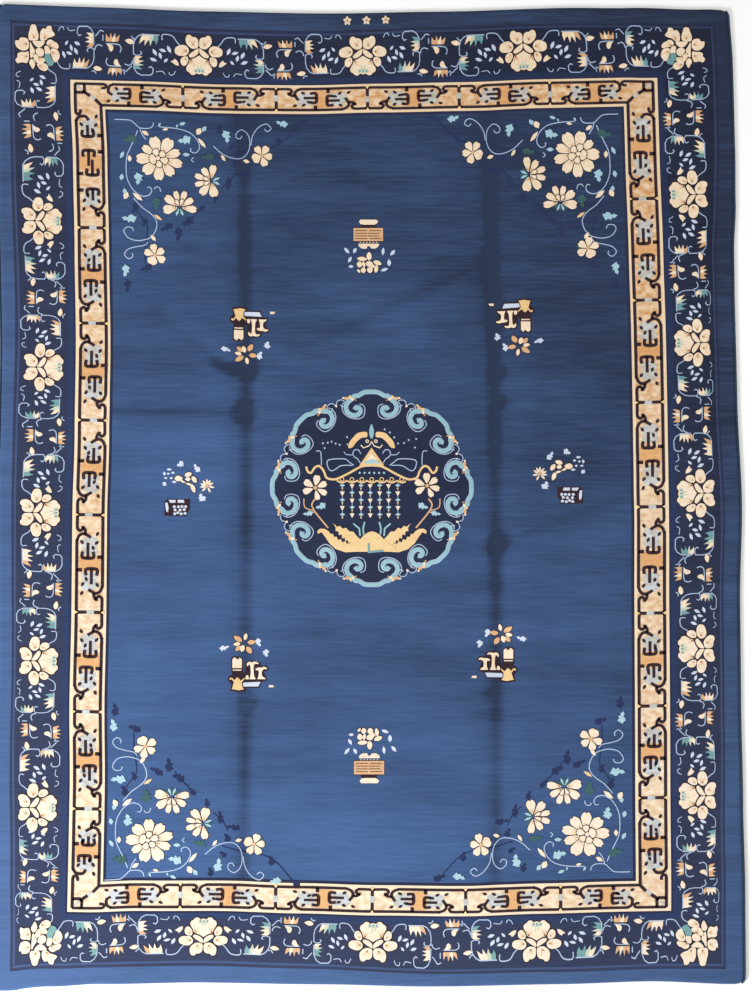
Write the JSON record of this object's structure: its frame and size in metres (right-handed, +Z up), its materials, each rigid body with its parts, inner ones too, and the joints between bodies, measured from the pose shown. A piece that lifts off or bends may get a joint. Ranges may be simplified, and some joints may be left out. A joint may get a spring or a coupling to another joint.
{
  "type": "peking rug",
  "caption": "Room-size hand-knotted wool rug with a flower medallion field and fret and peony borders, lying flat with soft folds and overcast sides.",
  "frame": {"origin": "on the floor under the middle of the rug's bounding box", "axes": "+X across the rug to the picture's right, +Y along the rug to the picture's top, +Z up out of the pile"},
  "size_m": [2.775, 3.6536, 0.0155],
  "materials": {
    "wool_pile": "short cut wool pile, knotted in indigo blues, cream, gold and pale blue, abrashed across the width",
    "overcast_wool": "dark teal wool yarn wrapped round the side cord"
  },
  "bodies": {
    "root": {"rug_pile": "wool_pile", "selvedge_left": "overcast_wool", "selvedge_right": "overcast_wool"}
  },
  "joints": []
}
